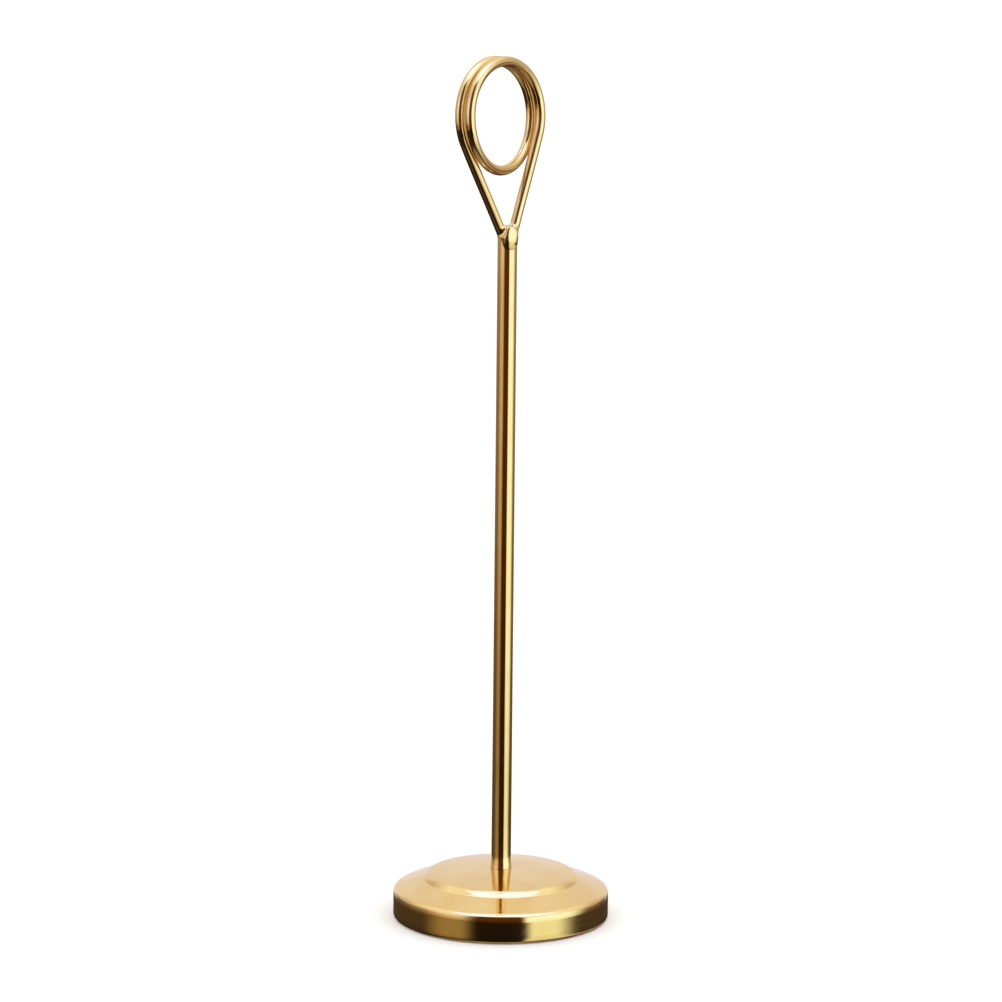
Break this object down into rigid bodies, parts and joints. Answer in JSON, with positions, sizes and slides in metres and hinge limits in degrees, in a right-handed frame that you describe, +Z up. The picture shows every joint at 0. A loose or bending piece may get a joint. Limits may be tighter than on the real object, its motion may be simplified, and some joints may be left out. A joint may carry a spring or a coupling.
{
  "type": "table number holder",
  "caption": "Polished gold table number holder: a weighted round base, a slim upright stem and a coiled spring-wire clip that grips a card between its turns.",
  "frame": {"origin": "on the table, at the centre of the underside of the base", "axes": "+Z up along the stem, -Y towards the front of the clip, +X across the clip"},
  "size_m": [0.0746, 0.0746, 0.2999],
  "materials": {
    "polished_gold": "mirror-polished gold plating",
    "cast_iron": "rough, as cast",
    "zinc_steel": "bright zinc plating",
    "black_foam": "matt closed-cell foam"
  },
  "bodies": {
    "stand": {"base_cover": "polished_gold", "base_weight": "cast_iron", "foot_pad": "black_foam", "stem_tube": "polished_gold", "threaded_plug": "zinc_steel", "end_plug": "zinc_steel", "stem_screw": "zinc_steel", "lock_washer": "zinc_steel", "flat_washer": "zinc_steel", "clip_wire_rear": "polished_gold", "braze_bead": "polished_gold"},
    "clip_front": {"clip_wire_front": "polished_gold"}
  },
  "joints": [
    {"name": "grip_flex", "type": "hinge", "parent": "stand", "child": "clip_front", "pos_m": [0, 0, 0.23952], "axis": [1, 0, 0], "range_deg": [0, 2], "stiffness_Nm_per_rad": 5}
  ]
}
